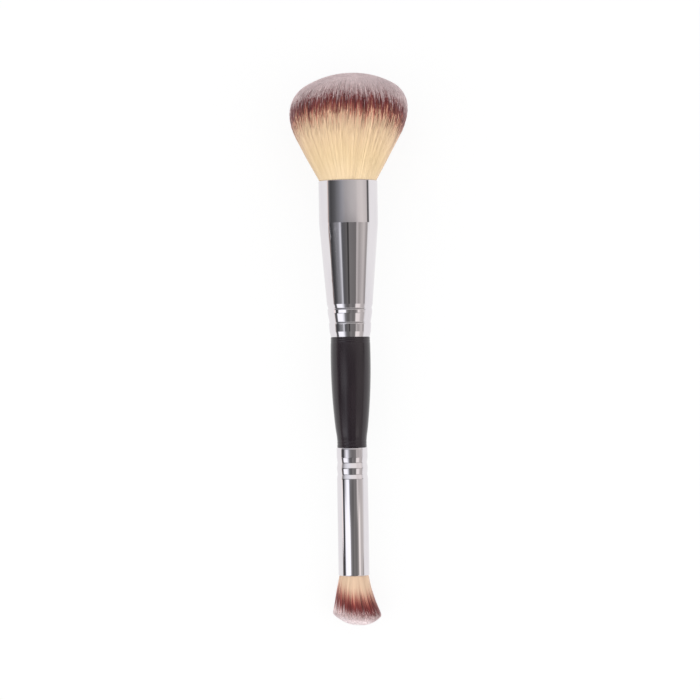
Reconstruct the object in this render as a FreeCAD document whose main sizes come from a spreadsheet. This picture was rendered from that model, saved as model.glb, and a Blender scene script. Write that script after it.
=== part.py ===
import FreeCAD, Part
import Sketcher
import math
import os

# Double ended makeup brush, in millimetres and degrees
# A turned grip carries a crimped metal ferrule on a tenon at each end. A wide domed powder head is set
# in the large ferrule and a small flat topped buffing head in the small one. The brush lies at rest on
# its two heads: +Y runs from the small head to the large one, +Z is up, and the origin is on the
# surface, under the middle of the brush. Each piece is turned about its own Z, the axis of the brush,
# which starts at the grip's shoulder under the large ferrule and runs towards the large head.

sizes = {
    # Grip, its widest place counted from the shoulder under the large ferrule
    "grip_length": 37.0,
    "belly_diameter": 13.4,
    "belly_station": 7.7,
    "belly_radius": 207.0,
    "neck_length": 3.5,
    "neck_diameter": 9.9,
    "grip_chamfer": 0.15,
    # Tenons inside the ferrules
    "large_tenon_length": 16.0,
    "small_tenon_length": 14.0,
    "tenon_chamfer": 0.4,
    "glue_gap": 0.05,
    # Crimped ends of the ferrules: two beads, each ended by a groove rolled into the tube
    "ferrule_wall": 0.35,
    "groove_depth": 0.25,
    "groove_width": 0.9,
    "lip_chamfer": 0.12,
    "large_end_bead": 4.95,
    "large_inner_bead": 4.45,
    "small_end_bead": 5.35,
    "small_inner_bead": 4.1,
    # Large ferrule, a cone that turns into an even band at the lip
    "large_ferrule_length": 52.2,
    "large_mouth_diameter": 13.6,
    "large_band_diameter": 19.8,
    "large_waist_station": 39.2,
    # Small ferrule, a straight tube
    "small_ferrule_length": 42.7,
    "small_ferrule_diameter": 10.4,
    # Large head
    "large_head_reach": 36.2,
    "large_head_diameter": 40.0,
    "large_flare_radius": 17.0,
    "large_shoulder_radius": 10.0,
    "large_crown_angle": 30.0,
    "large_root_depth": 12.0,
    "large_plug_thickness": 4.0,
    "large_rest_depth": 1.0,
    # Small head
    "small_head_reach": 16.9,
    "small_head_diameter": 16.4,
    "small_flare_radius": 1.0,
    "small_shoulder_radius": 0.7,
    "small_crown_angle": 45.0,
    "small_root_depth": 14.0,
    "small_plug_thickness": 3.0,
    "small_rest_depth": 0.3,
}

doc = FreeCAD.newDocument("makeup_brush")
sheet = doc.addObject("Spreadsheet::Sheet", "Sizes")
for row, (name, value) in enumerate(sizes.items(), start=1):
    sheet.set(f"A{row}", str(value))
    sheet.setAlias(f"A{row}", name)
doc.recompute()


def number(text):
    """What an expression on the sheet comes to, as a plain number."""
    value = sheet.evalExpression(text)
    return float(getattr(value, "Value", value))


# Each end of the brush is measured by distances from the grip's shoulder at that end. An outline is a
# list of corners, each its distance from the axis and its distance from the shoulder.

def station(end, distance):
    """A distance from the grip's shoulder at this end, as a place on the axis."""
    if end == "large":
        return f"({distance})"
    return f"(-Sizes.grip_length - ({distance}))"


def placed(end, line):
    """The outline of something at this end, on the axis."""
    return [(across, station(end, distance)) for across, distance in line]


# Round stretches are turned from a few straight ones, as many as keep each within this depth of its arc
chord_depth = 0.2


def arc(across, distance, radius, first, last):
    """Corners along an arc round a centre, its angles counted from square to the axis."""
    turned = abs(number(last) - number(first))
    widest_chord = 2 * math.degrees(math.acos(1 - chord_depth / number(radius)))
    steps = math.ceil(turned / widest_chord)
    corners = []
    for step in range(steps + 1):
        angle = f"({first} + ({last} - ({first})) * {step} / {steps})"
        corners.append((f"({across} + {radius} * cos({angle}))", f"({distance} + {radius} * sin({angle}))"))
    return corners


# Arcs of the heads
# A dome is a crown, centred on the axis, and a tighter shoulder that runs on from it in line. They
# meet where the crown has turned by its angle, and the shoulder ends square to the axis at the
# widest part of the head.

def head_radius(end):
    return f"(Sizes.{end}_head_diameter / 2)"


def head_tip(end):
    return f"(Sizes.{end}_ferrule_length + Sizes.{end}_head_reach)"


def shoulder_offset(end):
    """Distance between the centres of the crown and the shoulder."""
    return f"(({head_radius(end)} - Sizes.{end}_shoulder_radius) / sin(Sizes.{end}_crown_angle))"


def crown_radius(end):
    return f"({shoulder_offset(end)} + Sizes.{end}_shoulder_radius)"


def crown_centre(end):
    return f"({head_tip(end)} - {crown_radius(end)})"


def head_widest(end):
    return f"({crown_centre(end)} + {shoulder_offset(end)} * cos(Sizes.{end}_crown_angle))"


# How the brush lies: the surface touches both heads at their widest, where the hair gives a little

def rest_radius(end):
    return f"({head_radius(end)} - Sizes.{end}_rest_depth)"


rest_rise = f"({rest_radius('large')} - {rest_radius('small')})"
rest_span = f"({head_widest('large')} + Sizes.grip_length + {head_widest('small')})"
tilt = f"atan({rest_rise} / {rest_span})"


def surface_distance(place):
    """Distance from a place on the axis to the surface below it, square to the axis."""
    return f"({rest_radius('large')} + ({place} - {head_widest('large')}) * {rest_rise} / {rest_span})"


def draw(body, name, plane, outline):
    """A closed sketch of straight edges on an origin plane, with every corner bound to the sheet."""
    sketch = body.newObject("Sketcher::SketchObject", name)
    support = next(item for item in body.Origin.OriginFeatures if item.Role == plane)
    sketch.AttachmentSupport = [(support, "")]
    sketch.MapMode = "FlatFace"
    points = [FreeCAD.Vector(number(across), number(place), 0) for across, place in outline]
    for index, start in enumerate(points):
        sketch.addGeometry(Part.LineSegment(start, points[(index + 1) % len(points)]))
    for index, (across, place) in enumerate(outline):
        before = (index - 1) % len(points)
        sketch.addConstraint(Sketcher.Constraint("Coincident", before, 2, index, 1))
        if across == "0":
            sketch.addConstraint(Sketcher.Constraint("PointOnObject", index, 1, -2))
        else:
            reach = sketch.addConstraint(Sketcher.Constraint("DistanceX", -1, 1, index, 1, points[index].x))
            sketch.setExpression(f"Constraints[{reach}]", across)
        height = sketch.addConstraint(Sketcher.Constraint("DistanceY", -1, 1, index, 1, points[index].y))
        sketch.setExpression(f"Constraints[{height}]", place)
    return sketch


def new_body(name):
    """An empty body that lies with the brush, its Z along the axis and its Y towards the surface."""
    body = doc.addObject("PartDesign::Body", name)
    body.Label = name
    lean = f"90 deg - {tilt}"
    body.Placement.Rotation = FreeCAD.Rotation(FreeCAD.Vector(-1, 0, 0), number(lean))
    body.setExpression("Placement.Rotation.Angle", lean)
    axis_middle = f"({head_tip('large')} - Sizes.grip_length - {head_tip('small')}) / 2"
    body.setExpression("Placement.Base.y", f"-{axis_middle} * cos({tilt})")
    body.setExpression("Placement.Base.z", f"{surface_distance('0')} * cos({tilt})")
    return body


def turn(body, name, outline):
    """A turned solid, from an outline swung round the axis."""
    sketch = draw(body, f"{name}_outline", "XZ_Plane", outline)
    solid = body.newObject("PartDesign::Revolution", name)
    solid.Profile = sketch
    solid.ReferenceAxis = (sketch, ["V_Axis"])
    solid.Angle = 360
    doc.recompute()


def must_shrink(body, before):
    if body.Shape.Volume >= before:
        raise RuntimeError(f"a cut took nothing from {body.Label}")


def turn_away(body, name, end, low, high):
    """Removes everything between two distances from the shoulder."""
    reach = f"Sizes.{end}_head_diameter"
    outline = placed(end, [("0", low), (reach, low), (reach, high), ("0", high)])
    sketch = draw(body, f"{name}_outline", "XZ_Plane", outline)
    before = body.Shape.Volume
    cut = body.newObject("PartDesign::Groove", name)
    cut.Profile = sketch
    cut.ReferenceAxis = (sketch, ["V_Axis"])
    cut.Angle = 360
    doc.recompute()
    must_shrink(body, before)


def press_flat(body, name, end, low, high):
    """The flat that the hair takes where the head lies on the surface."""
    below = "Sizes.large_head_diameter"
    start = station(end, low)
    finish = station(end, high)
    outline = [
        (surface_distance(start), start),
        (below, start),
        (below, finish),
        (surface_distance(finish), finish),
    ]
    sketch = draw(body, f"{name}_outline", "YZ_Plane", outline)
    before = body.Shape.Volume
    cut = body.newObject("PartDesign::Pocket", name)
    cut.Profile = sketch
    cut.Type = "ThroughAll"
    cut.Midplane = True
    doc.recompute()
    must_shrink(body, before)


# Ferrule lines, for the outside and, moved towards the axis by inset, for the bore and the tenon

def cone_radius(end, distance):
    """Half the width of the ferrule before its lip band, at a distance from its mouth."""
    if end == "small":
        return "(Sizes.small_ferrule_diameter / 2)"
    widening = "(Sizes.large_band_diameter - Sizes.large_mouth_diameter) / (2 * Sizes.large_waist_station)"
    return f"(Sizes.large_mouth_diameter / 2 + {widening} * ({distance}))"


def crimp_line(end, inset):
    """Two beads from the mouth to the inner groove, whose far side is the last corner."""
    first = f"Sizes.{end}_end_bead"
    second = f"({first} + Sizes.{end}_inner_bead)"
    line = []
    for groove in ("0", first, second):
        for side in (-1, 0, 1):
            distance = f"({groove} + {side} * Sizes.groove_width / 2)"
            depth = f"Sizes.groove_depth * {1 - abs(side)}"
            line.append((f"({cone_radius(end, distance)} - {inset} - {depth})", distance))
    # the near side of the first groove would lie outside the mouth
    return line[1:]


def bore_line(end, inset):
    """The end of the cone and the lip band, up to the lip."""
    lip = f"Sizes.{end}_ferrule_length"
    if end == "small":
        return [(f"({cone_radius(end, lip)} - {inset})", lip)]
    band = f"(Sizes.large_band_diameter / 2 - {inset})"
    return [(band, "Sizes.large_waist_station"), (band, lip)]


def backwards(line):
    return line[::-1]


loose = "(Sizes.ferrule_wall + Sizes.glue_gap)"


# Grip

def tenon(end):
    """From the shoulder to the tenon's end: two beads, the inner groove run on straight and a chamfer."""
    length = f"Sizes.{end}_tenon_length"
    crimps = crimp_line(end, loose)[:-1]
    straight = crimps[-1][0]
    return crimps + [
        (straight, f"{length} - Sizes.tenon_chamfer"),
        (f"{straight} - Sizes.tenon_chamfer", length),
        ("0", length),
    ]


def make_grip():
    """A turned handle: a long belly, a short neck and a tenon at each end."""
    body = new_body("grip")
    chamfer = "Sizes.grip_chamfer"
    neck = "Sizes.neck_diameter / 2"
    centre = "(Sizes.belly_diameter / 2 - Sizes.belly_radius)"
    shoulder_angle = f"asin(({chamfer} - Sizes.belly_station) / Sizes.belly_radius)"
    neck_angle = "asin((Sizes.grip_length - Sizes.neck_length - Sizes.belly_station) / Sizes.belly_radius)"
    belly = arc(centre, "Sizes.belly_station", "Sizes.belly_radius", shoulder_angle, neck_angle)
    handle = [(f"{belly[0][0]} - {chamfer}", "0")] + belly + [
        (neck, f"Sizes.grip_length - {chamfer}"),
        (f"{neck} - {chamfer}", "Sizes.grip_length"),
    ]
    downwards = [(across, f"-({distance})") for across, distance in handle]
    outline = backwards(placed("large", tenon("large"))) + downwards + placed("small", tenon("small"))
    turn(body, "turned_grip", outline)
    return body


# Ferrules

def make_ferrule(end):
    """A thin tube of even wall, rolled down into the tenon's two grooves."""
    body = new_body(f"{end}_ferrule")
    outside = crimp_line(end, "0") + bore_line(end, "0")
    inside = crimp_line(end, "Sizes.ferrule_wall") + bore_line(end, "Sizes.ferrule_wall")
    lip_radius, lip = outside.pop()
    outside += [(lip_radius, f"{lip} - Sizes.lip_chamfer"), (f"{lip_radius} - Sizes.lip_chamfer", lip)]
    turn(body, "rolled_tube", placed(end, outside + backwards(inside)))
    return body


# Glue plugs and hair

def bore_filling(end):
    """What is set in the bore, as if it ran from the mouth to the lip."""
    return [("0", "0"), (f"({cone_radius(end, '0')} - {loose})", "0")] + bore_line(end, loose)


def root_end(end):
    return f"(Sizes.{end}_ferrule_length - Sizes.{end}_root_depth)"


def make_plug(end):
    """Resin poured behind the hair, as wide as the bore."""
    body = new_body(f"{end}_glue_plug")
    lip = f"Sizes.{end}_ferrule_length"
    turn(body, "bore_filling", placed(end, bore_filling(end) + [("0", lip)]))
    turn_away(body, "below_plug", end, f"-{lip}", f"{root_end(end)} - Sizes.{end}_plug_thickness")
    turn_away(body, "above_plug", end, root_end(end), head_tip(end))
    return body


def head_line(end, lip_radius):
    """Flare, widest part and dome, from the lip to the tip."""
    radius = f"Sizes.{end}_flare_radius"
    run = f"({head_widest(end)} - Sizes.{end}_ferrule_length)"
    drop = f"({lip_radius} - ({head_radius(end)} - {radius}))"
    flare_angle = f"(asin({radius} / sqrt({run} ^ 2 + {drop} ^ 2)) - atan({drop} / {run}))"
    flare = arc(f"({head_radius(end)} - {radius})", head_widest(end), radius, f"-{flare_angle}", "0 deg")
    bend = f"Sizes.{end}_shoulder_radius"
    crown_start = f"(90 - Sizes.{end}_crown_angle)"
    shoulder = arc(f"({head_radius(end)} - {bend})", head_widest(end), bend, "0", crown_start)
    crown = arc("0", crown_centre(end), crown_radius(end), crown_start, "90")
    return flare + shoulder[1:] + crown[1:-1] + [("0", head_tip(end))]


def make_head(end):
    """Hair that fills the bore, flares from the lip and is pressed flat where the brush lies on it."""
    body = new_body(f"{end}_head")
    lip = f"Sizes.{end}_ferrule_length"
    root = bore_filling(end)
    turn(body, "hair", placed(end, root + head_line(end, root[-1][0])))
    turn_away(body, "below_root", end, f"-{lip}", root_end(end))
    press_flat(body, "resting_flat", end, lip, f"{head_tip(end)} + {lip}")
    return body


bodies = [make_grip()]
for end in ("large", "small"):
    bodies += [make_ferrule(end), make_plug(end), make_head(end)]
doc.recompute()

# Every object must have recomputed, and every piece must be one sound solid
for item in doc.Objects:
    if "Invalid" in item.State or "Error" in item.State:
        raise RuntimeError(f"{item.Label} did not recompute: {item.State}")
os.makedirs("parts", exist_ok=True)
for body in bodies:
    shape = body.Shape
    if shape.isNull() or not shape.isValid() or len(shape.Solids) != 1:
        raise RuntimeError(f"{body.Label} is not one valid solid")
    shape.exportStep(f"parts/{body.Label}.step")
    box = shape.optimalBoundingBox(True, False)
    print(f"{body.Label}: {shape.Volume:.1f} mm3, along Y {box.YMin:.2f} to {box.YMax:.2f},",
          f"up to {box.ZMax:.2f} from {box.ZMin:.2f}")
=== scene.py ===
import math
from functools import partial

import bpy
import numpy as np
from mathutils import Matrix, Vector


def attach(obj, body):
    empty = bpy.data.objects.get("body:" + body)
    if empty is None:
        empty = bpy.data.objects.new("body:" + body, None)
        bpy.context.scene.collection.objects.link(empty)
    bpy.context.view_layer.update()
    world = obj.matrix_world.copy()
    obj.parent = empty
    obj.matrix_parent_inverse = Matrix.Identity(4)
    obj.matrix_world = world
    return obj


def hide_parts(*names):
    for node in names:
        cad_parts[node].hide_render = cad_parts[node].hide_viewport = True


# Double ended makeup brush, lying on its two heads. Metres, +Y towards the large head, +Z up.

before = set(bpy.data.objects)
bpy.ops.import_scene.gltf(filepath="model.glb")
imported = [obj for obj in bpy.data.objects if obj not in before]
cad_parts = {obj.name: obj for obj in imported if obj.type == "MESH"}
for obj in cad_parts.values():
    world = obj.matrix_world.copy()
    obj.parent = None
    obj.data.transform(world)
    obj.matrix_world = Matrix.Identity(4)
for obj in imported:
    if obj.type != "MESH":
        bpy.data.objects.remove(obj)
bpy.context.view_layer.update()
print("frame loaded")

# Where the brush lies. A place on it is a distance along its axis from the grip's shoulder under the
# large ferrule, a distance from the axis, and an angle round the axis from straight up towards +X.

brush = {
    "tilt": math.radians(3.769),  # how far the axis rises towards the large head
    "shoulder": np.array([0.0, 0.004091, 0.013982]),
    "gripLength": 0.037,
}
along = np.array([0.0, math.cos(brush["tilt"]), math.sin(brush["tilt"])])
upward = np.array([0.0, -math.sin(brush["tilt"]), math.cos(brush["tilt"])])
sideways = np.array([1.0, 0.0, 0.0])


def onBrush(radius, station, angle):
    # shoulder + station x axis + radius x (cos angle x upward + sin angle x sideways)
    radius, station, angle = np.broadcast_arrays(radius, station, angle)
    across = radius * np.cos(angle)
    over = radius * np.sin(angle)
    return (brush["shoulder"] + station[..., None] * along
            + across[..., None] * upward + over[..., None] * sideways)


def smoothstep(low, high, value):
    # 3x^2 - 2x^3 of the way from low to high
    x = np.clip((value - low) / (high - low), 0.0, 1.0)
    return x * x * (3.0 - 2.0 * x)


# Shader maths as Python

class Wire:
    # one output of a node; maths on it adds the nodes
    def __init__(self, tree, socket=None):
        self.tree = tree
        self.socket = socket

    def add(self, kind, settings=None, sockets=None, out=0):
        # a node with its settings, the values or links of its sockets, and the output that is wanted
        node = self.tree.nodes.new(kind)
        for name, value in (settings or {}).items():
            if name == "stops":
                ramp = node.color_ramp
                for stop in value[1:-1]:
                    ramp.elements.new(stop[0])
                for element, (place, shown) in zip(ramp.elements, value):
                    element.position = place
                    element.color = (*shown, 1.0)
            else:
                setattr(node, name, value)
        for name, value in (sockets or {}).items():
            if isinstance(value, Wire):
                self.tree.links.new(value.socket, node.inputs[name])
            else:
                node.inputs[name].default_value = value
        return Wire(self.tree, node.outputs[out] if node.outputs else None)

    def maths(self, operation, *values, clamp=False):
        return self.add("ShaderNodeMath", {"operation": operation, "use_clamp": clamp},
                        dict(enumerate(values)))

    def __add__(self, other):
        return self.maths("ADD", self, other)

    def __radd__(self, other):
        return self.maths("ADD", other, self)

    def __sub__(self, other):
        return self.maths("SUBTRACT", self, other)

    def __rsub__(self, other):
        return self.maths("SUBTRACT", other, self)

    def __mul__(self, other):
        return self.maths("MULTIPLY", self, other)

    def __rmul__(self, other):
        return self.maths("MULTIPLY", other, self)

    def __truediv__(self, other):
        return self.maths("DIVIDE", self, other)

    def __rtruediv__(self, other):
        return self.maths("DIVIDE", other, self)

    def step(self, low, high, first=0.0, last=1.0):
        # eased from first to last while the value goes from low to high
        return self.add("ShaderNodeMapRange", {"interpolation_type": "SMOOTHSTEP"},
                        {"Value": self, "From Min": low, "From Max": high, "To Min": first, "To Max": last})

    def within(self, start, end):
        # 1 between two places, eased in over the pair at the start and out over the pair at the end
        return self.step(*start) * self.step(*end, 1.0, 0.0)

    def blend(self, first, last):
        # a colour between two, this value of the way; the node's colours are its sockets 6 and 7
        return self.add("ShaderNodeMix", {"data_type": "RGBA"}, {0: self, 6: first, 7: last}, 2)


def colour(red, green, blue):
    # an sRGB colour, 0 to 255, as light
    values = np.array([red, green, blue]) / 255.0
    linear = np.where(values <= 0.04045, values / 12.92, ((values + 0.055) / 1.055) ** 2.4)
    return tuple(float(value) for value in linear)


def solid(red, green, blue):
    return (*colour(red, green, blue), 1.0)


def newMaterial(name):
    material = bpy.data.materials.new(name)
    material.use_nodes = True
    material.node_tree.nodes.clear()
    return material, Wire(material.node_tree)


def finishMaterial(wire, sockets):
    shader = wire.add("ShaderNodeBsdfPrincipled", None, sockets)
    wire.add("ShaderNodeOutputMaterial", None, {"Surface": shader})


def alongBrush(wire):
    # object coordinates turned so that their Z runs along the brush
    place = wire.add("ShaderNodeTexCoord", None, None, "Object")
    return wire.add("ShaderNodeMapping", {"vector_type": "TEXTURE"},
                    {"Vector": place, "Location": tuple(brush["shoulder"]),
                     "Rotation": (brush["tilt"] - math.pi / 2, 0.0, 0.0)})


def noise(wire, place, density, detail):
    # cloudy noise from 0 to 1, with its density along each axis in blots to the metre
    scaled = wire.add("ShaderNodeMapping", None, {"Vector": place, "Scale": density})
    return wire.add("ShaderNodeTexNoise", None, {"Vector": scaled, "Scale": 1.0, "Detail": detail})


def relief(wire, strength, height, under=None):
    # bumps of this strength to a millimetre, over others where there are any
    sockets = {"Strength": strength, "Distance": 0.001, "Height": height}
    if under:
        sockets["Normal"] = under
    return wire.add("ShaderNodeBump", None, sockets)


# Meshes

def meshPiece(name, vertices, faces, uvs, material):
    # faces are rows of 3 or 4 corners, with one (u, v) to each corner
    corners = np.concatenate([rows.ravel() for rows in faces]).astype(np.int32)
    sizes = np.concatenate([np.full(len(rows), rows.shape[1]) for rows in faces])
    starts = np.concatenate([[0], np.cumsum(sizes)[:-1]]).astype(np.int32)
    mesh = bpy.data.meshes.new(name)
    mesh.vertices.add(len(vertices))
    mesh.vertices.foreach_set("co", vertices.astype(np.float32).ravel())
    mesh.loops.add(len(corners))
    mesh.loops.foreach_set("vertex_index", corners)
    mesh.polygons.add(len(sizes))
    mesh.polygons.foreach_set("loop_start", starts)
    mesh.update(calc_edges=True)
    layer = mesh.uv_layers.new(name="OFBake")
    flat = np.concatenate([rows.reshape(-1, 2) for rows in uvs])
    layer.uv.foreach_set("vector", flat.astype(np.float32).ravel())
    mesh.polygons.foreach_set("use_smooth", np.full(len(sizes), True))
    mesh.validate()
    mesh.materials.append(material)
    piece = bpy.data.objects.new(name, mesh)
    bpy.context.scene.collection.objects.link(piece)
    return piece


def turnedPiece(name, radii, stations, segments, material, closed, toPlace=onBrush):
    # the profile (radius, station) swung round the axis: toPlace(radius, station, 2 pi j / segments);
    # a closed profile joins its last corner to its first, an open one gets a flat middle at each end
    rows = len(radii)
    margin = 0.05  # of the map, left at each end for those middles
    angles = 2 * math.pi * np.arange(segments) / segments
    grid = toPlace(radii[:, None], stations[:, None], angles[None, :])
    vertices = grid.reshape(-1, 3)
    spans = rows if closed else rows - 1
    i, j = np.meshgrid(np.arange(spans), np.arange(segments), indexing="ij")
    below = i * segments
    above = ((i + 1) % rows) * segments
    nextJ = (j + 1) % segments
    quads = np.stack([below + j, below + nextJ, above + nextJ, above + j], -1).reshape(-1, 4)
    u = np.stack([j, j + 1, j + 1, j], -1) / segments
    v = np.stack([i, i, i + 1, i + 1], -1) / spans * (1 - 2 * margin) + margin
    faces = [quads]
    uvs = [np.stack([u, v], -1).reshape(-1, 4, 2)]
    if not closed:
        ends = toPlace(np.zeros(2), stations[[0, -1]], np.zeros(2))
        vertices = np.concatenate([vertices, ends])
        j = np.arange(segments)
        nextJ = (j + 1) % segments
        first = np.full(segments, rows * segments)
        top = (rows - 1) * segments
        faces.append(np.stack([nextJ, j, first], -1))
        faces.append(np.stack([top + j, top + nextJ, first + 1], -1))
        for side, edge in ((0.0, margin), (1.0, 1 - margin)):
            fan = np.stack([np.stack([j, j + 1, j + 0.5], -1) / segments,
                            np.tile([edge, edge, side], (segments, 1))], -1)
            uvs.append(fan)
    return meshPiece(name, vertices, faces, uvs, material)


# Bright metal of the ferrules

ferruleMetal = {
    "tint": solid(226, 222, 225),
    "handled": solid(220, 215, 220),
    "roughness": 0.03,
    "smudge": 0.03,  # how much rougher it is where it has been handled
    "smudgeDensity": (160.0, 160.0, 45.0),
    "handledFrom": (0.35, 0.75),  # between which levels of the noise that comes in, in colour
    "rougherFrom": (0.45, 0.75),  # and in roughness
    "lineDensity": (2400.0, 2400.0, 9.0),  # fine lines that run along the tube
    "lineDepth": 0.004,
    "smearDensity": (1300.0, 1300.0, 230.0),  # an uneven stripe, smeared down the cone's left
    "smearDepth": 0.022,
    "smearAcross": ((-0.0066, -0.0058), (-0.0034, -0.0028)),  # where it comes in, and where it goes out
    "smearAlong": ((0.012, 0.018), (0.033, 0.0372)),
}


def metalMaterial():
    # drawn lines and the smear as relief, and handled patches a little duller
    material, wire = newMaterial("polished ferrule")
    place = alongBrush(wire)
    lines = noise(wire, place, ferruleMetal["lineDensity"], detail=3.0)
    smudges = noise(wire, place, ferruleMetal["smudgeDensity"], detail=4.0)
    smear = noise(wire, place, ferruleMetal["smearDensity"], detail=2.0)
    across, length = (wire.add("ShaderNodeSeparateXYZ", None, {"Vector": place}, axis) for axis in "XZ")
    stripe = across.within(*ferruleMetal["smearAcross"]) * length.within(*ferruleMetal["smearAlong"])
    drawn = relief(wire, ferruleMetal["lineDepth"], lines)
    handled = smudges.step(*ferruleMetal["handledFrom"])
    rougher = smudges.step(*ferruleMetal["rougherFrom"])
    finishMaterial(wire, {
        "Base Color": handled.blend(ferruleMetal["tint"], ferruleMetal["handled"]),
        "Metallic": 1.0,
        "Roughness": ferruleMetal["roughness"] + rougher * ferruleMetal["smudge"],
        "Normal": relief(wire, ferruleMetal["smearDepth"], smear * stripe, drawn),
    })
    return material


metal = metalMaterial()
print("metal ready")


# Ferrules, each measured from the grip outwards

def softened(values, width, spacing):
    # each value averaged with its neighbours under a bell of this width
    reach = int(3 * width / spacing) + 1
    bell = np.exp(-0.5 * (np.arange(-reach, reach + 1) * spacing / width) ** 2)
    padded = np.pad(values, reach, mode="edge")
    return np.convolve(padded, bell / bell.sum(), mode="valid")


largeFerrule = {
    "length": 0.0522,
    "mouth": 0.0068,  # radius where it meets the grip
    "band": 0.0099,  # radius round the hair
    "waist": 0.0380,  # where the cone turns into the band
    # distance from the grip against how far the wall is pressed in, in millimetres
    "crimps": ((0.0, 0.26), (0.45, 0.24), (1.75, 0.0), (4.6, 0.06), (4.85, 0.25), (5.05, 0.27), (7.9, 0.0),
               (9.25, 0.05), (9.55, 0.25), (9.8, 0.25), (10.9, 0.0)),
    "wall": 0.00035,
}
smallFerrule = {
    "length": 0.0427,
    "mouth": 0.0052,
    "band": 0.0052,
    "waist": 0.03,
    "crimps": ((0.0, 0.12), (0.3, 0.02), (3.3, 0.0), (4.85, 0.25), (5.05, 0.25), (6.7, 0.0), (6.9, 0.0),
               (8.75, 0.23), (8.95, 0.25), (9.5, 0.12), (10.3, 0.0)),
    "wall": 0.00035,
}
tubeRows = {
    "segments": 160,
    "profile": 0.00002,  # spacing of the places at which the profile is worked out
    "crimpRound": 0.00006,  # how softly the crimps turn
    "crimps": (0.0, 0.0114, 0.00012),  # first row, end and step of the close rows over the crimps
    "cone": (0.0118, 0.0032, 0.0025),  # first row, distance kept from the waist, and step
    "waist": (-0.0025, -0.0005, 0.0, 0.0005, 0.0025),
    "band": (0.0034, 0.0002, 5),  # distance from the waist, distance kept from the end, and how many
    "lip": (0.00012, 0.00006, 0.0),
    "rim": 9,
    "bore": 6,  # the bore has a row for so many outside
    "boreRoom": 0.0002,  # the bore lies so much further in than the wall, clear of the crimps
}


def rowsAlong(ferrule, end):
    # where the rows lie: close over the crimps and at the end, wider at the waist, widest elsewhere
    waist = ferrule["waist"]
    coneStart, coneRoom, coneStep = tubeRows["cone"]
    bandStart, bandRoom, bandCount = tubeRows["band"]
    return np.concatenate([np.arange(*tubeRows["crimps"]),
                           np.arange(coneStart, waist - coneRoom, coneStep),
                           waist + np.array(tubeRows["waist"]),
                           np.linspace(waist + bandStart, end - bandRoom, bandCount),
                           end - np.array(tubeRows["lip"])])


def ferrulePiece(name, ferrule, sign, offset):
    # outside radius = cone up to the waist, then the band, less the crimps; a half round rim leads to the
    # bore, whose radius = cone or band, less the wall and its room
    spacing = tubeRows["profile"]
    fine = np.arange(0.0, ferrule["length"] - ferrule["wall"] / 2, spacing)
    slope = (ferrule["band"] - ferrule["mouth"]) / ferrule["waist"]
    cone = np.minimum(ferrule["mouth"] + slope * fine, ferrule["band"])
    crimps = np.array(ferrule["crimps"]) / 1000.0
    pressed = np.interp(fine, crimps[:, 0], crimps[:, 1], right=0.0)
    outside = cone - softened(pressed, tubeRows["crimpRound"], spacing)
    rows = rowsAlong(ferrule, fine[-1])
    radius = np.interp(rows, fine, outside)
    turn = np.linspace(0.0, math.pi, tubeRows["rim"])
    edge = ferrule["wall"] / 2
    rimRadius = radius[-1] - edge + edge * np.cos(turn)
    rimDistance = ferrule["length"] - edge + edge * np.sin(turn)
    inner = rows[::-tubeRows["bore"]]
    bore = np.interp(inner, fine, cone) - ferrule["wall"] - tubeRows["boreRoom"]
    radii = np.concatenate([radius, rimRadius[1:], bore[1:]])
    places = np.concatenate([rows, rimDistance[1:], inner[1:]])
    if sign < 0:
        radii, places = radii[::-1], places[::-1]
    tube = turnedPiece(name, radii, offset + sign * places, tubeRows["segments"], metal, True)
    # a crease round the waist: both ends of its edges lie in the waist's row
    mesh = tube.data
    ends = np.empty(len(mesh.edges) * 2, np.int32)
    mesh.edges.foreach_get("vertices", ends)
    rowOfEnd = ends.reshape(-1, 2) // tubeRows["segments"]
    waistRow = int(np.argmin(np.abs(places - ferrule["waist"])))
    crease = mesh.attributes.new("sharp_edge", "BOOLEAN", "EDGE")
    crease.data.foreach_set("value", (rowOfEnd == waistRow).all(1))
    return tube


largeTube = ferrulePiece("largeFerruleTube", largeFerrule, 1.0, 0.0)
smallTube = ferrulePiece("smallFerruleTube", smallFerrule, -1.0, -brush["gripLength"])
for tube, node in ((largeTube, "large_ferrule"), (smallTube, "small_ferrule")):
    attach(tube, "root")
    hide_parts(node)
print("ferrules turned")


# Grip, matt black lacquer on turned wood

grip = {
    "belly": 0.0067,  # widest radius
    "bellyStation": 0.0077,  # its distance from the shoulder
    "bellyRound": 0.207,
    "neckStart": 0.0305,  # where the belly starts to ease into the neck
    "neck": 0.00495,
    "edge": 0.00025,
    "rings": (0.0009, 0.0017, 0.0348, 0.0358),  # fine turned grooves, distance from the shoulder
    "ringDepth": 0.00007,
    "ringWidth": 0.00014,
    "rows": 70,
    "ringRows": 11,  # close rows over each ring, and how many of its widths they reach
    "ringReach": 2.5,
    "edgeRows": 6,
    "segments": 160,
    "black": solid(32, 25, 30),
    "worn": solid(37, 29, 34),
    "wearDensity": (300.0, 300.0, 60.0),
    "wornFrom": (0.35, 0.75),  # between which levels of the noise the wear comes in, in colour
    "rougherFrom": (0.3, 0.7),  # and in roughness
    "roughness": 0.16,
    "wornRoughness": 0.06,  # added where it is worn
    "grainDensity": (2600.0, 2600.0, 120.0),
    "grainDepth": 0.015,
}


def lacquerMaterial():
    # a cloud of wear in the black, over wood grain that hardly stands out
    material, wire = newMaterial("black lacquer")
    place = alongBrush(wire)
    wear = noise(wire, place, grip["wearDensity"], detail=4.0)
    grain = noise(wire, place, grip["grainDensity"], detail=3.0)
    finishMaterial(wire, {
        "Base Color": wear.step(*grip["wornFrom"]).blend(grip["black"], grip["worn"]),
        "Roughness": grip["roughness"] + wear.step(*grip["rougherFrom"]) * grip["wornRoughness"],
        "Specular IOR Level": 0.5,
        "Normal": relief(wire, grip["grainDepth"], grain),
    })
    return material


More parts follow.
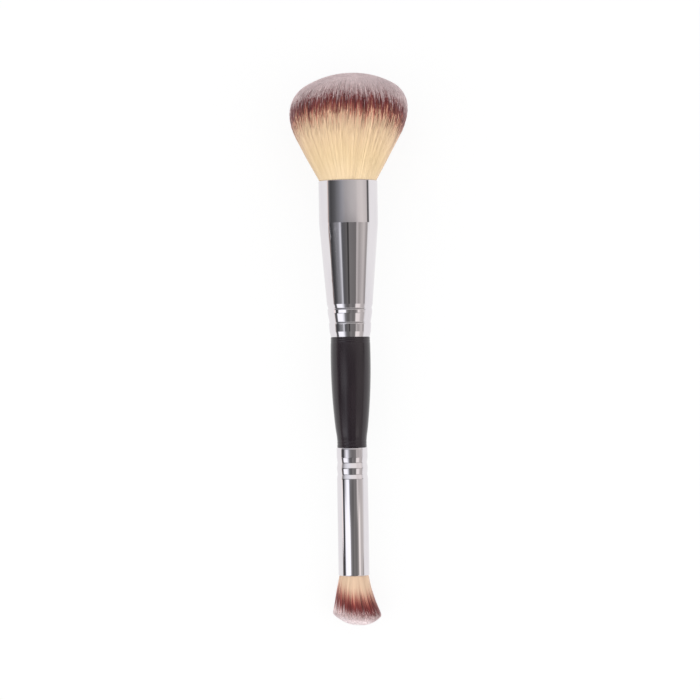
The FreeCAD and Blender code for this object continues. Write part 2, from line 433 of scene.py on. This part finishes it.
def gripPiece():
    # radius = belly - (round - sqrt(round^2 - (distance - widest)^2)), eased into the neck, less a bell
    # for each ring, with a quarter round at each edge
    length = brush["gripLength"]
    edge = grip["edge"]
    even = np.linspace(edge, length - edge, grip["rows"])
    beside = np.linspace(-grip["ringReach"], grip["ringReach"], grip["ringRows"]) * grip["ringWidth"]
    atRings = np.array(grip["rings"])[:, None] + beside
    distance = np.unique(np.concatenate([even, atRings.ravel()]))
    belly = grip["belly"] - (grip["bellyRound"]
                             - np.sqrt(grip["bellyRound"] ** 2 - (distance - grip["bellyStation"]) ** 2))
    ease = smoothstep(grip["neckStart"], length, distance)
    radius = belly + (grip["neck"] - belly) * ease
    for groove in grip["rings"]:
        radius = radius - grip["ringDepth"] * np.exp(-((distance - groove) / grip["ringWidth"]) ** 2)
    turn = np.linspace(0.0, math.pi / 2, grip["edgeRows"] + 1)
    first = (radius[0] - edge + edge * np.sin(turn[:-1]), edge - edge * np.cos(turn[:-1]))
    last = (radius[-1] - edge + edge * np.cos(turn[1:]), length - edge + edge * np.sin(turn[1:]))
    radii = np.concatenate([first[0], radius, last[0]])
    places = -np.concatenate([first[1], distance, last[1]])
    return turnedPiece("grip_lacquered", radii[::-1], places[::-1], grip["segments"],
                       lacquerMaterial(), False)


gripBody = gripPiece()
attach(gripBody, "root")
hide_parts("grip")
print("grip turned")


# Glue behind the hair, hidden in the ferrules

glue = {
    "pale": solid(214, 198, 160),
    "dark": solid(190, 170, 126),
    "density": (900.0, 900.0, 900.0),
    "darkFrom": (0.3, 0.7),
    "roughness": 0.25,
    "unevenRoughness": 0.2,
}


def glueMaterial():
    # cloudy from pale to dark, and a little duller where it is dark
    material, wire = newMaterial("set glue")
    cloud = noise(wire, alongBrush(wire), glue["density"], detail=3.0)
    finishMaterial(wire, {
        "Base Color": cloud.step(*glue["darkFrom"]).blend(glue["pale"], glue["dark"]),
        "Roughness": glue["roughness"] + cloud * glue["unevenRoughness"],
    })
    return material


setGlue = glueMaterial()
for node in ("large_glue_plug", "small_glue_plug"):
    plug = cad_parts[node]
    plug.data.materials.clear()
    plug.data.materials.append(setGlue)
print("glue set")


# Hair

hairFinish = {
    "roughness": 0.45,
    "dull": 0.2,  # added in full on the palest hairs
    "gloss": 0.3,
    "sheen": 0.55,
    "sheenRoughness": 0.4,
    "sheenTint": solid(255, 230, 231),
    "darkest": 0.4,  # share of its colour that the darkest hair keeps
    "deep": 0.7,  # painted shade: how much darker a hair is painted right inside the bundle, in place of the shadow there
    "clumpShade": 0.35,  # how much of a hair's shade is its clump's, and how much its own
    "ownShade": 0.65,
    "bodyDensity": (1500.0, 1500.0, 60.0),
    "bodyBand": 3.0,  # how far the colours wander on the body, in millimetres
}


def hairMaterial(name, head, core=False):
    # colour by distance from the lip in mm, lighter or darker by the hair's shade, and darker with depth as
    # painted shade; the hairs carry theirs, the body under them takes it from place
    material, wire = newMaterial(name)
    if core:
        place = alongBrush(wire)
        height = wire.add("ShaderNodeSeparateXYZ", None, {"Vector": place}, "Z")
        shade = noise(wire, place, hairFinish["bodyDensity"], detail=2.0)
        wander = (shade - 0.5) * hairFinish["bodyBand"]
        fromLip = (height - head["offset"]) * (head["sign"] * 1000.0) + wander
    else:
        fromLip, shade, depth = (wire.add("ShaderNodeAttribute", {"attribute_name": label}, None, "Fac")
                                 for label in ("fromLip", "shade", "depth"))
    reach = head["zones"][-1][0]
    stops = [(place / reach, colour(*shown)) for place, shown in head["zones"]]
    zones = wire.add("ShaderNodeValToRGB", {"stops": stops}, {"Fac": fromLip / reach})
    strength = fromLip.step(*head["streaks"]) * fromLip.step(*head["calm"])
    light = wire.maths("MAXIMUM", (shade - 0.5) * strength + 1.0, hairFinish["darkest"])
    # painted shade: hairs deeper inside the bundle are darkened
    if not core:
        light = light * (1.0 - depth * hairFinish["deep"])
    finishMaterial(wire, {
        "Base Color": wire.add("ShaderNodeVectorMath", {"operation": "SCALE"}, {0: zones, "Scale": light}),
        "Roughness": hairFinish["roughness"] + shade * hairFinish["dull"],
        "Specular IOR Level": hairFinish["gloss"],
        "Sheen Weight": hairFinish["sheen"],
        "Sheen Roughness": hairFinish["sheenRoughness"],
        "Sheen Tint": hairFinish["sheenTint"],
    })
    return material


outlineSteps = {
    "inside": -0.01,  # the outline starts so far inside the ferrule
    "straight": 12,
    "flare": 24,
    "shoulder": 16,
    "crown": 40,
}


def headOutline(head):
    # distance from the lip against radius: a flare, straight but for its hollow, from the lip to where it
    # touches the round that leads to the widest place, then the shoulder's round, and the crown's arc
    # about a place on the axis
    angle = head["crownAngle"]
    offset = (head["radius"] - head["shoulderRound"]) / math.sin(angle)
    crown = offset + head["shoulderRound"]
    widest = head["reach"] - (crown - offset * math.cos(angle))
    run, drop = widest, head["lip"] - (head["radius"] - head["flareRound"])
    flare = math.asin(head["flareRound"] / math.hypot(run, drop)) - math.atan(drop / run)
    touchAt = widest - head["flareRound"] * math.sin(flare)
    touchRadius = head["radius"] - head["flareRound"] * (1 - math.cos(flare))
    x = np.linspace(0.0, 1.0, outlineSteps["straight"])[:-1]
    a = np.linspace(-flare, 0.0, outlineSteps["flare"])
    b = np.linspace(0.0, math.pi / 2 - angle, outlineSteps["shoulder"])[1:]
    c = np.linspace(math.pi / 2 - angle, math.pi / 2, outlineSteps["crown"])[1:]
    distance = np.concatenate([[outlineSteps["inside"]],
                               touchAt * x,
                               widest + head["flareRound"] * np.sin(a),
                               widest + head["shoulderRound"] * np.sin(b),
                               head["reach"] - crown + crown * np.sin(c)])
    drawnIn = head["hollow"] * 4 * x * (1 - x)
    radius = np.concatenate([[head["lip"]],
                             head["lip"] + (touchRadius - head["lip"]) * x - drawnIn,
                             head["radius"] - head["flareRound"] * (1 - np.cos(a)),
                             head["radius"] - head["shoulderRound"] * (1 - np.cos(b)),
                             crown * np.cos(c)])
    return distance, radius, widest


def settled(head, radial, distance, angle):
    # from a place in the head to the object's: the end leans aside, one side reaches further, and what
    # would go under the floor lies just over it, gap + gap x exp(height / gap - 2)
    radial, distance, angle = np.broadcast_arrays(radial, distance, angle)
    lean = head["lean"] * smoothstep(head["leanStart"] * head["reach"], head["reach"], distance)
    grown = smoothstep(0.0, 1.0, distance / head["reach"])
    uneven = 1.0 + head["uneven"] * (radial / head["radius"]) * np.sin(angle) * grown
    points = onBrush(radial, head["sign"] * distance * uneven + head["offset"], angle)
    points[..., 0] += lean
    gap = head["floorGap"]
    height = points[..., 2]
    laid = gap + gap * np.exp(np.minimum(height / gap - 2, 0))
    points[..., 2] = np.where(height < 2 * gap, laid, height)
    return points


hairShape = {
    "stray": 0.02,  # how far a root strays from its golden angle, in radians
    "crownEdge": 0.985,  # no tip comes out further from the axis than this share of the radius
    "crowding": 1.4,  # above 1, a hair's steps lie closer towards its tip
    "opening": (0.5, 1.0),  # part of its length over which a hair moves out to the outline
    "bulge": 0.0001,  # how far a hair may stand out of the outline
    "depthReach": 0.3,  # share of the radius at which a hair is as deep inside, and as darkened by painted shade, as it gets
    "deepest": 0.5,
    "crownPower": 6,  # the higher, the nearer the end do the hairs start to be lit like its crown
    "held": 0.015,  # how much closer in the hairs lie where the ferrule holds them
    "heldReach": 0.004,
    "taper": 0.7,  # share of its thickness that a hair loses
    "taperPower": 2.2,
    "thinnest": 0.75,  # share of the thickness that the thinnest hair has, and what others have more
    "thicker": 0.5,
    "sides": 3,
}


def hairPaths(rng, head, layer):
    # roots: share of the radius by the square root of an even spread, in golden angle steps round the axis;
    # tips: come out on the crown at another share; radius = outline x (share + (1 - share) x ease)
    count = layer["count"]
    outlineAt, outline, widest = headOutline(head)
    crown = outlineAt >= widest - 1e-9
    index = np.arange(count)
    low, high = layer["roots"]
    share = np.sqrt(low ** 2 + (high ** 2 - low ** 2) * (index + 0.5) / count)
    angle = index * math.pi * (3 - math.sqrt(5)) + rng.normal(0, hairShape["stray"], count)
    tipShare = np.minimum(share * rng.uniform(*layer["tips"], count), hairShape["crownEdge"])
    length = np.interp(tipShare * head["radius"], outline[crown][::-1], outlineAt[crown][::-1])
    # clumps: hairs in one cell of a grid of rings and sectors share their lean, length and colour shift
    cell = head["clump"] / head["radius"]
    ring = np.floor(share / cell) + 0.5
    sectors = np.ceil(2 * math.pi * ring)
    sector = np.floor(angle / (2 * math.pi) * sectors + 0.5 * rng.random()) + 0.5
    clump = np.unique(np.stack([ring, sector % sectors], -1), axis=0, return_inverse=True)[1].ravel()
    clumps = clump.max() + 1
    middle = 2 * math.pi * sector / sectors
    toMiddle = np.stack([ring * cell * np.cos(middle) - share * np.cos(angle),
                         ring * cell * np.sin(middle) - share * np.sin(angle)], -1)
    pull = toMiddle * head["gather"] * head["radius"]
    splay = rng.normal(0, head["splay"], (count, 2))
    sunk = np.abs(rng.normal(0, head["unevenTips"], count)
                  + rng.normal(0, head["unevenClumps"], clumps)[clump])
    # the path: one step down in the ferrule, then steps to the tip, u = 1 - (1 - even steps)^crowding
    u = 1.0 - (1.0 - np.linspace(0.0, 1.0, layer["rings"] - 1)) ** hairShape["crowding"]
    distance = np.concatenate([np.full((count, 1), -head["root"]), u * (length - sunk)[:, None]], 1)
    u = np.concatenate([[0.0], u])
    ease = smoothstep(*hairShape["opening"], u)[None, :]
    limit = np.interp(distance, outlineAt, outline)
    radial = limit * (share[:, None] + (1.0 - share[:, None]) * ease) * tuckedIn(distance)
    x = radial * np.cos(angle)[:, None] + (pull[:, 0:1] + splay[:, 0:1]) * u ** 2
    y = radial * np.sin(angle)[:, None] + (pull[:, 1:2] + splay[:, 1:2]) * u ** 2
    radial = np.minimum(np.hypot(x, y), limit + hairShape["bulge"] * rng.random((count, 1)))
    angle = np.arctan2(y, x)
    # the colours' place: distance in mm + sides x side^2 + edges x side^6 + right x side + chance
    side = share[:, None] * np.sin(angle)
    bend = head["bandSides"] * side ** 2 + head["bandEdges"] * side ** 6 + head["bandRight"] * side
    shift = rng.normal(0, head["bandClump"], clumps)[clump] + rng.normal(0, head["bandHair"], count)
    fromLip = distance * 1000.0 + bend + shift[:, None]
    shade = (hairFinish["clumpShade"] * rng.random(clumps)[clump]
             + hairFinish["ownShade"] * rng.random(count))
    # how deep a hair lies inside the bundle, which the material turns into painted shade
    inside = (limit - radial) / head["radius"] / hairShape["depthReach"]
    depth = np.clip(inside, 0.0, 1.0) * hairShape["deepest"]
    facing = bundleFacing(head, radial, distance, angle)
    return settled(head, radial, distance, angle), fromLip, shade, depth, facing


def bundleFacing(head, radial, distance, angle):
    # the way the bundle's own surface faces at each place: out from the axis, turned towards the end on
    # the crown and by as much as the outline draws in there
    outlineAt, outline = headOutline(head)[:2]
    rising = outlineAt + 1e-9 * np.arange(len(outlineAt))  # keeps places apart where two arcs meet
    drawnIn = -np.interp(distance, outlineAt, np.gradient(outline, rising)).clip(-1, 0)
    nearAxis = np.sqrt(1.0 - (radial / head["radius"]).clip(0, 1) ** 2)
    crowned = np.clip(distance / head["reach"], 0.0, 1.0) ** hairShape["crownPower"] * nearAxis
    out = onBrush(1.0, 0.0, angle) - brush["shoulder"]
    facing = out * (1.0 - crowned)[..., None] + head["sign"] * along * (crowned + drawnIn)[..., None]
    return facing / np.linalg.norm(facing, axis=-1, keepdims=True)


def tuckedIn(distance):
    # 1 less a little that fades out over the first millimetres from the lip
    return 1.0 - hairShape["held"] * (1.0 - smoothstep(0.0, hairShape["heldReach"], distance))


def hairMap(count, rings):
    # one (u, v) to each corner of the quads, the root caps and the tip caps: each hair has its own cell of
    # the map, with its sides side by side and its length upwards
    sides = hairShape["sides"]
    tall = 3.0  # a cell is so many times as tall as it is wide
    columns = int(math.ceil(math.sqrt(count * tall)))
    lines = int(math.ceil(count / columns))
    size = np.array([columns, lines])
    cell = np.stack([np.arange(count) % columns, np.arange(count) // columns], -1)[:, None, :]
    left, low, end = 0.1, 0.06, 0.02  # margins of a cell: beside a hair, under it, and at a cap's middle
    k, c = np.meshgrid(np.arange(rings - 1), np.arange(sides), indexing="ij")
    u = left + (1 - 2 * left) * np.stack([c, c + 1, c + 1, c], -1) / sides
    v = low + (1 - 2 * low) * np.stack([k, k, k + 1, k + 1], -1) / (rings - 1)
    quads = (cell + np.stack([u, v], -1).reshape(-1, 2)) / size
    roots = (cell + np.array([[left, low], [0.5, end], [1 - left, low]])) / size
    tips = (cell + np.array([[left, 1 - low], [0.5, 1 - end], [1 - left, 1 - low]])) / size
    return [quads.reshape(-1, 4, 2), roots, tips]


def hairPiece(name, seed, head, layer, material):
    # each path gets a three sided ring at every step: centre + thickness x (cos first + sin second),
    # thickness = thick x (1 - taper x u^power) x chance
    rng = np.random.default_rng(seed)
    centres, fromLip, shade, depth, facing = hairPaths(rng, head, layer)
    count, rings = centres.shape[:2]
    sides = hairShape["sides"]
    tangent = np.gradient(centres, axis=1)
    tangent /= np.linalg.norm(tangent, axis=-1, keepdims=True)
    first = np.cross(tangent, sideways + 0.01)  # a little off the axis, so that no hair runs along it
    first /= np.linalg.norm(first, axis=-1, keepdims=True)
    second = np.cross(tangent, first)
    u = np.linspace(0.0, 1.0, rings)
    tapered = head["thick"] * (1 - hairShape["taper"] * u ** hairShape["taperPower"])
    thick = tapered[None, :] * (hairShape["thinnest"] + hairShape["thicker"] * rng.random(count))[:, None]
    turn = rng.random(count)[:, None, None] * 2 * math.pi + 2 * math.pi * np.arange(sides) / sides
    vertices = (centres[:, :, None, :]
                + thick[:, :, None, None] * (np.cos(turn)[..., None] * first[:, :, None, :]
                                             + np.sin(turn)[..., None] * second[:, :, None, :]))
    start = np.arange(count) * rings * sides
    k, c = np.meshgrid(np.arange(rings - 1), np.arange(sides), indexing="ij")
    low = start[:, None, None] + k * sides
    nextC = (c + 1) % sides
    quads = np.stack([low + c, low + nextC, low + sides + nextC, low + sides + c], -1).reshape(-1, 4)
    roots = np.stack([start, start + 2, start + 1], -1)
    top = start + (rings - 1) * sides
    tips = np.stack([top, top + 1, top + 2], -1)
    piece = meshPiece(name, vertices.reshape(-1, 3), [quads, roots, tips], hairMap(count, rings), material)
    for label, values in (("fromLip", fromLip), ("shade", np.repeat(shade, rings)), ("depth", depth)):
        attribute = piece.data.attributes.new(label, "FLOAT", "POINT")
        attribute.data.foreach_set("value", np.repeat(values.ravel(), sides).astype(np.float32))
    piece.data.normals_split_custom_set_from_vertices(np.repeat(facing.reshape(-1, 3), sides, axis=0))
    return piece


bodyShape = {
    "start": -0.002,  # from the lip, inside the ferrule
    "end": 0.97,  # share of the reach
    "rows": 40,
    "blunt": 0.5,  # the last row is drawn in to this share
    "segments": 96,
}


def corePiece(name, head, material):
    # the body of the bundle under the loose hairs: radius = outline x core, turned about the axis
    outlineAt, outline = headOutline(head)[:2]
    distance = np.linspace(bodyShape["start"], head["reach"] * bodyShape["end"], bodyShape["rows"])
    radial = np.interp(distance, outlineAt, outline) * head["core"]
    radial[-1] *= bodyShape["blunt"]
    return turnedPiece(name, radial, distance, bodyShape["segments"], material, False,
                       partial(settled, head))


powderHead = {
    "sign": 1.0,
    "offset": largeFerrule["length"],  # the lip's place on the axis
    "reach": 0.0361,
    "radius": 0.01975,
    "lip": 0.00955,  # radius at the lip
    "flareRound": 0.017,
    "hollow": 0.0,  # how far the flare is drawn in halfway
    "shoulderRound": 0.010,
    "crownAngle": math.radians(30),  # half of what the crown's arc spans
    "lean": 0.0011,  # how far the end leans aside
    "leanStart": 0.25,  # share of the reach from which it does
    "uneven": 0.012,  # how much further one side reaches
    "core": 0.975,  # the body's share of the outline
    "root": 0.003,  # how far the hairs go down in the ferrule
    "clump": 0.00034,
    "gather": 0.3,  # how far the hairs of a clump are pulled together
    "splay": 0.00005,
    "unevenTips": 0.00025,
    "unevenClumps": 0.0002,
    # how far the dark band is shifted, in mm: by chance in a clump and in a hair, then at the sides, right
    # at the edges, and towards the right
    "bandClump": 0.6,
    "bandHair": 1.5,
    "bandSides": 1.95,
    "bandEdges": 2.8,
    "bandRight": 0.6,
    "thick": 0.000085,
    "floorGap": 0.00012,
    "streaks": (17.0, 23.0, 0.01, 1.9),  # how streaked the colour is, from one distance in mm to another
    "calm": (24.6, 27.4, 1.0, 0.35),  # and how the streaks fade in the tips
    # distance from the lip in mm, and the colour there
    "zones": ((0.0, (243, 217, 178)), (8.0, (239, 211, 166)), (14.0, (240, 209, 169)),
              (17.5, (233, 202, 166)), (20.0, (218, 174, 145)), (22.0, (174, 110, 90)),
              (23.8, (125, 55, 52)), (25.6, (100, 35, 39)), (27.0, (124, 67, 69)),
              (28.2, (180, 151, 151)), (30.2, (212, 191, 191)), (33.0, (210, 190, 191)),
              (36.2, (214, 197, 200))),
    # share of the radius at which a layer's roots lie, and share of that at which its tips come out
    "layers": {
        "powderHairOuter": {"count": 4500, "rings": 8, "roots": (0.975, 1.0), "tips": (0.25, 0.985)},
        "powderHairMiddle": {"count": 5200, "rings": 7, "roots": (0.75, 0.98), "tips": (0.1, 0.85)},
        "powderHairInner": {"count": 4400, "rings": 7, "roots": (0.0, 0.8), "tips": (0.3, 0.85)},
    },
}
buffingHead = {
    "sign": -1.0,
    "offset": -brush["gripLength"] - smallFerrule["length"],
    "reach": 0.0168,
    "radius": 0.00805,
    "lip": 0.00485,
    "flareRound": 0.001,
    "hollow": 0.00025,
    "shoulderRound": 0.0007,
    "crownAngle": math.radians(45),
    "lean": 0.0011,
    "leanStart": 0.25,
    "uneven": 0.035,
    "core": 0.965,
    "root": 0.003,
    "clump": 0.00028,
    "gather": 0.3,
    "splay": 0.00006,
    "unevenTips": 0.00025,
    "unevenClumps": 0.00025,
    "bandClump": 0.4,
    "bandHair": 0.75,
    "bandSides": 0.8,
    "bandEdges": 0.6,
    "bandRight": -1.3,
    "thick": 0.00008,
    "floorGap": 0.0001,
    "streaks": (4.5, 9.0, 0.03, 2.3),
    "calm": (10.6, 12.2, 1.0, 0.45),
    "zones": ((0.0, (222, 191, 164)), (3.8, (221, 190, 161)), (5.8, (204, 158, 135)), (7.4, (162, 98, 84)),
              (9.1, (124, 52, 47)), (11.0, (104, 37, 38)), (12.1, (142, 86, 84)), (13.1, (206, 176, 174)),
              (14.4, (230, 208, 209)), (16.9, (250, 240, 242))),
    "layers": {
        "buffingHairOuter": {"count": 4300, "rings": 6, "roots": (0.92, 1.0), "tips": (0.82, 1.0)},
        "buffingHairInner": {"count": 3600, "rings": 6, "roots": (0.0, 0.94), "tips": (0.9, 1.0)},
    },
}

firstSeed = 11
print("hair starts")
for head, node, slot in ((powderHead, "large_head", "powder_hair"),
                         (buffingHead, "small_head", "buffing_hair")):
    pieces = [corePiece(slot + "_body", head, hairMaterial(slot + " body", head, True))]
    loose = hairMaterial(slot + " fibres", head)
    for seed, (name, layer) in enumerate(head["layers"].items(), firstSeed):
        pieces.append(hairPiece(name, seed, head, layer, loose))
    for piece in pieces:
        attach(piece, "root")
        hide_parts(node)
    print(node, "covered with hair")


# Floor: white to the camera and to reflections, and it keeps a part of the object's shadow

floorLook = {
    "half": 3.0,
    "pale": (0.84, 0.84, 0.84, 1.0),
    "dull": (0.82, 0.82, 0.82, 1.0),
    "density": (3.0, 3.0, 3.0),
    "paleFrom": (0.2, 0.8),
    "white": 0.87,  # share of plain white that those rays see, the rest shows light and shadow
}


def rayKinds(wire):
    # 1 for rays of the camera, of reflections and of clear materials
    kinds = [wire.add("ShaderNodeLightPath", None, None, output)
             for output in ("Is Camera Ray", "Is Glossy Ray", "Is Transmission Ray")]
    return wire.maths("MAXIMUM", wire.maths("MAXIMUM", kinds[0], kinds[1]), kinds[2])


def floorPiece():
    material, wire = newMaterial("pale floor")
    place = wire.add("ShaderNodeTexCoord", None, None, "Object")
    cloud = noise(wire, place, floorLook["density"], detail=2.0)
    shown = cloud.step(*floorLook["paleFrom"]).blend(floorLook["dull"], floorLook["pale"])
    paper = wire.add("ShaderNodeBsdfDiffuse", None, {"Color": shown})
    glow = wire.add("ShaderNodeEmission", None, {"Color": (1.0, 1.0, 1.0, 1.0), "Strength": 1.0})
    share = rayKinds(wire) * floorLook["white"]
    mixed = wire.add("ShaderNodeMixShader", None, {0: share, 1: paper, 2: glow})
    wire.add("ShaderNodeOutputMaterial", None, {"Surface": mixed})
    # a square, corners at +-half
    half = floorLook["half"]
    corners = [(-half, -half, 0), (half, -half, 0), (half, half, 0), (-half, half, 0)]
    mesh = bpy.data.meshes.new("floor")
    mesh.from_pydata(corners, [], [(0, 1, 2, 3)])
    mesh.materials.append(material)
    floor = bpy.data.objects.new("floor", mesh)
    bpy.context.scene.collection.objects.link(floor)


floorPiece()
print("floor laid")


# Studio: an even light for soft surfaces, and for reflections the light cards that the bright metal shows

studio = {
    "even": 0.47,  # light from straight above
    "horizon": 1.35,  # what comes to it down at the horizon, as in a light tent
    "shine": 1.473,  # how bright a card of full light is
    # what the cards are tinted with, by angle round the brush: cool on the left, warm on the right
    "tints": ((-90, (0.943, 0.943, 0.943)), (-86, (1.0, 0.81, 0.74)), (-81, (0.92, 0.93, 0.96)),
              (-28, (0.915, 0.938, 1.0)), (-10, (0.95, 0.93, 0.925)), (20, (0.965, 0.93, 0.91)),
              (40, (0.985, 0.932, 0.9)), (76, (0.985, 0.932, 0.9)), (84, (0.943, 0.943, 0.943))),
    # the cards: between which leans along the brush each comes in over the one before, in degrees, then its
    # light by angle round the brush from straight up, in degrees; the levels and the tints were given to
    # follow the photo's brightness and colour across the ferrules, a level for each 1 to 3 of its columns
    "cards": (
        (None, (
            (-90, 0.7), (-82, 0.12), (-60, 0.06), (-20, 0.08), (20, 0.1), (60, 0.2), (84, 0.3),
            (90, 0.7))),
        ((-16.0, -12.0), (
            (-90, 0.75), (-82, 0.25), (-74, 0.22), (-56, 0.58), (-40, 0.7), (-20, 0.72), (0, 0.72),
            (24, 0.7), (40, 0.62), (60, 0.66), (80, 0.55), (90, 0.7))),
        ((-5.0, -3.4), (
            (-90, 0.74), (-86, 0.5), (-82, 0.14), (-73, 0.052), (-54, 0.095), (-37, 0.185), (-21, 0.3),
            (-5, 0.36), (19, 0.43), (30, 0.45), (38, 0.52), (55, 0.55), (76, 0.47), (79, 0.09),
            (86, 0.09), (89, 0.7))),
        ((-1.55, -1.05), (
            (-90, 0.74), (-85, 0.24), (-75, 0.05), (-60, 0.08), (-48, 0.1), (-34, 0.17), (-24, 0.12),
            (-8, 0.1), (4, 0.145), (26, 0.14), (34, 0.26), (48, 0.3), (60, 0.46), (76, 0.36),
            (80, 0.2), (84, 0.2), (90, 0.7))),
        ((0.2, 0.8), (
            (-90, 0.76), (-86, 0.06), (-66, 0.05), (-58, 0.34), (-42, 0.85), (-32, 0.66), (-22, 0.28),
            (-10, 0.18), (4, 0.14), (26, 0.17), (34, 0.46), (42, 0.36), (54, 0.42), (69, 0.4),
            (80, 0.48), (90, 0.7))),
        ((1.2, 1.5), (
            (-90, 0.85), (-84, 0.78), (-81, 0.04), (-67, 0.04), (-60, 0.36), (-50, 0.7), (-43, 0.98),
            (-28, 0.98), (-23, 0.26), (-17, 0.14), (-8, 0.13), (2, 0.1), (12, 0.17), (24, 0.15),
            (31, 0.34), (37, 0.62), (45, 0.38), (56, 0.42), (66, 0.42), (76, 0.5), (90, 0.7))),
        ((1.65, 2.0), (
            (-90, 0.85), (-80, 0.8), (-77, 0.04), (-66, 0.04), (-61, 0.6), (-57, 0.98), (-23, 0.98),
            (-18, 0.24), (-12, 0.18), (-4, 0.11), (6, 0.17), (20, 0.13), (34, 0.2), (41, 0.5),
            (46, 0.84), (52, 0.6), (60, 0.42), (70, 0.42), (80, 0.54), (90, 0.7))),
        ((2.75, 2.9), (
            (-90, 0.74), (-87, 0.24), (-79, 0.045), (-73, 0.05), (-64, 0.09), (-56, 0.18), (-46, 0.22),
            (-40, 0.3), (-33.5, 0.62), (-29, 0.16), (-25, 0.09), (-16, 0.1), (-8, 0.12), (-5, 0.035),
            (-2, 0.035), (2, 0.165), (29, 0.142), (33, 0.46), (38, 0.38), (44, 0.3), (52, 0.37),
            (64, 0.47), (76, 0.26), (80, 0.36), (84, 0.72))),
        ((6.0, 7.5), (
            (-90, 0.74), (-84, 0.1), (-72, 0.08), (-67, 0.92), (-42, 0.95), (-34, 0.72), (-25, 0.2),
            (-16, 0.11), (-6, 0.1), (4, 0.19), (15, 0.14), (26, 0.16), (32, 0.74), (50, 0.7),
            (58, 0.45), (76, 0.38), (86, 0.7))),
    ),
}


def cardStops(angles):
    # stops of a ramp that runs from -90 to 90 degrees; one number stands for a grey
    return [((angle + 90.0) / 180.0, (light, light, light) if isinstance(light, float) else light)
            for angle, light in angles]


def studioWorld():
    # cards are placed by the direction halfway between a ray's and straight up from the brush: its turn
    # round the brush, atan2(across, 1 + up), doubled, and its lean, atan2(along, what is left); straight up
    # is towards the photo's camera, so in that view each level shows at one place across a ferrule
    world = bpy.data.worlds.new("studio")
    world.use_nodes = True
    world.node_tree.nodes.clear()
    wire = Wire(world.node_tree)
    ray = wire.add("ShaderNodeTexCoord", None, None, "Generated")
    across, lengthwise, up = (wire.add("ShaderNodeVectorMath", {"operation": "DOT_PRODUCT"},
                                       {0: ray, 1: tuple(axis)}, "Value")
                              for axis in (sideways, along, upward))
    halfUp = up + 1.0
    around = wire.maths("ARCTAN2", across, halfUp) * (2.0 / math.pi) + 0.5
    steep = wire.maths("SQRT", across * across + halfUp * halfUp)
    lean = wire.maths("ARCTAN2", lengthwise, steep) * (-180.0 / math.pi)
    seen = None
    for reach, angles in studio["cards"]:
        card = wire.add("ShaderNodeValToRGB", {"stops": cardStops(angles)}, {"Fac": around})
        seen = lean.step(*reach).blend(seen, card) if reach else card
    tints = wire.add("ShaderNodeValToRGB", {"stops": cardStops(studio["tints"])}, {"Fac": around})
    tinted = wire.add("ShaderNodeVectorMath", {"operation": "MULTIPLY"}, {0: seen, 1: tints})
    cards = wire.add("ShaderNodeBackground", None, {"Color": tinted, "Strength": studio["shine"]})
    white = wire.add("ShaderNodeBackground", None, {"Color": (1.0, 1.0, 1.0, 1.0), "Strength": 1.0})
    level = wire.maths("SUBTRACT", 1.0, up, clamp=True)
    even = wire.add("ShaderNodeBackground", None,
                    {"Color": (1.0, 1.0, 1.0, 1.0), "Strength": level * studio["horizon"] + studio["even"]})
    glossy = wire.add("ShaderNodeLightPath", None, None, "Is Glossy Ray")
    known = wire.add("ShaderNodeMixShader", None, {0: glossy, 1: white, 2: cards})
    wire.add("ShaderNodeOutputWorld", None,
             {"Surface": wire.add("ShaderNodeMixShader", None, {0: rayKinds(wire), 1: even, 2: known})})
    bpy.context.scene.world = world


studioWorld()

lamps = {
    "leftBox": {"place": (-0.28, -0.1, 0.42), "aim": (0.0, 0.0, 0.0), "size": (0.40, 0.60), "power": 0.8},
    "rightBox": {"place": (0.28, -0.1, 0.42), "aim": (0.0, 0.0, 0.0), "size": (0.40, 0.60), "power": 0.8},
    "topBox": {"place": (0.0, 0.45, 0.7), "aim": (0.0, 0.05, 0.0), "size": (0.6, 0.3), "power": 0.45},
}


def areaLamp(name, lamp):
    light = bpy.data.lights.new(name, "AREA")
    light.shape = "RECTANGLE"
    light.size, light.size_y = lamp["size"]
    light.energy = lamp["power"]
    holder = bpy.data.objects.new(name, light)
    place = Vector(lamp["place"])
    facing = (Vector(lamp["aim"]) - place).to_track_quat("-Z", "Y").to_matrix().to_4x4()
    holder.matrix_world = Matrix.Translation(place) @ facing
    holder.visible_glossy = False
    bpy.context.scene.collection.objects.link(holder)


for name, lamp in lamps.items():
    areaLamp(name, lamp)
print("studio lit")


# Camera, straight above the brush and square to its axis

camera = {
    "sensor": 36.0,
    "distance": 0.9,
    "nearest": 0.01,
    "frameWidth": 0.23436,  # how much of the brush's plane the square picture shows
    "middle": -0.00435,  # the place on the axis beside the picture's middle
    "aside": -0.00017,
    "roll": math.radians(0.90),
}


def placeCamera():
    data = bpy.data.cameras.new("camera")
    data.sensor_width = camera["sensor"]
    data.lens = camera["sensor"] * camera["distance"] / camera["frameWidth"]
    data.clip_start = camera["nearest"]
    holder = bpy.data.objects.new("camera", data)
    target = brush["shoulder"] + camera["middle"] * along + camera["aside"] * sideways
    place = target + camera["distance"] * upward
    roll = camera["roll"]
    right = math.cos(roll) * sideways - math.sin(roll) * along
    top = math.cos(roll) * along + math.sin(roll) * sideways
    turn = Matrix([[right[i], top[i], upward[i], place[i]] for i in range(3)] + [[0, 0, 0, 1]])
    holder.matrix_world = turn
    bpy.context.scene.collection.objects.link(holder)
    bpy.context.scene.camera = holder


placeCamera()
bpy.context.scene.view_settings.view_transform = "Standard"
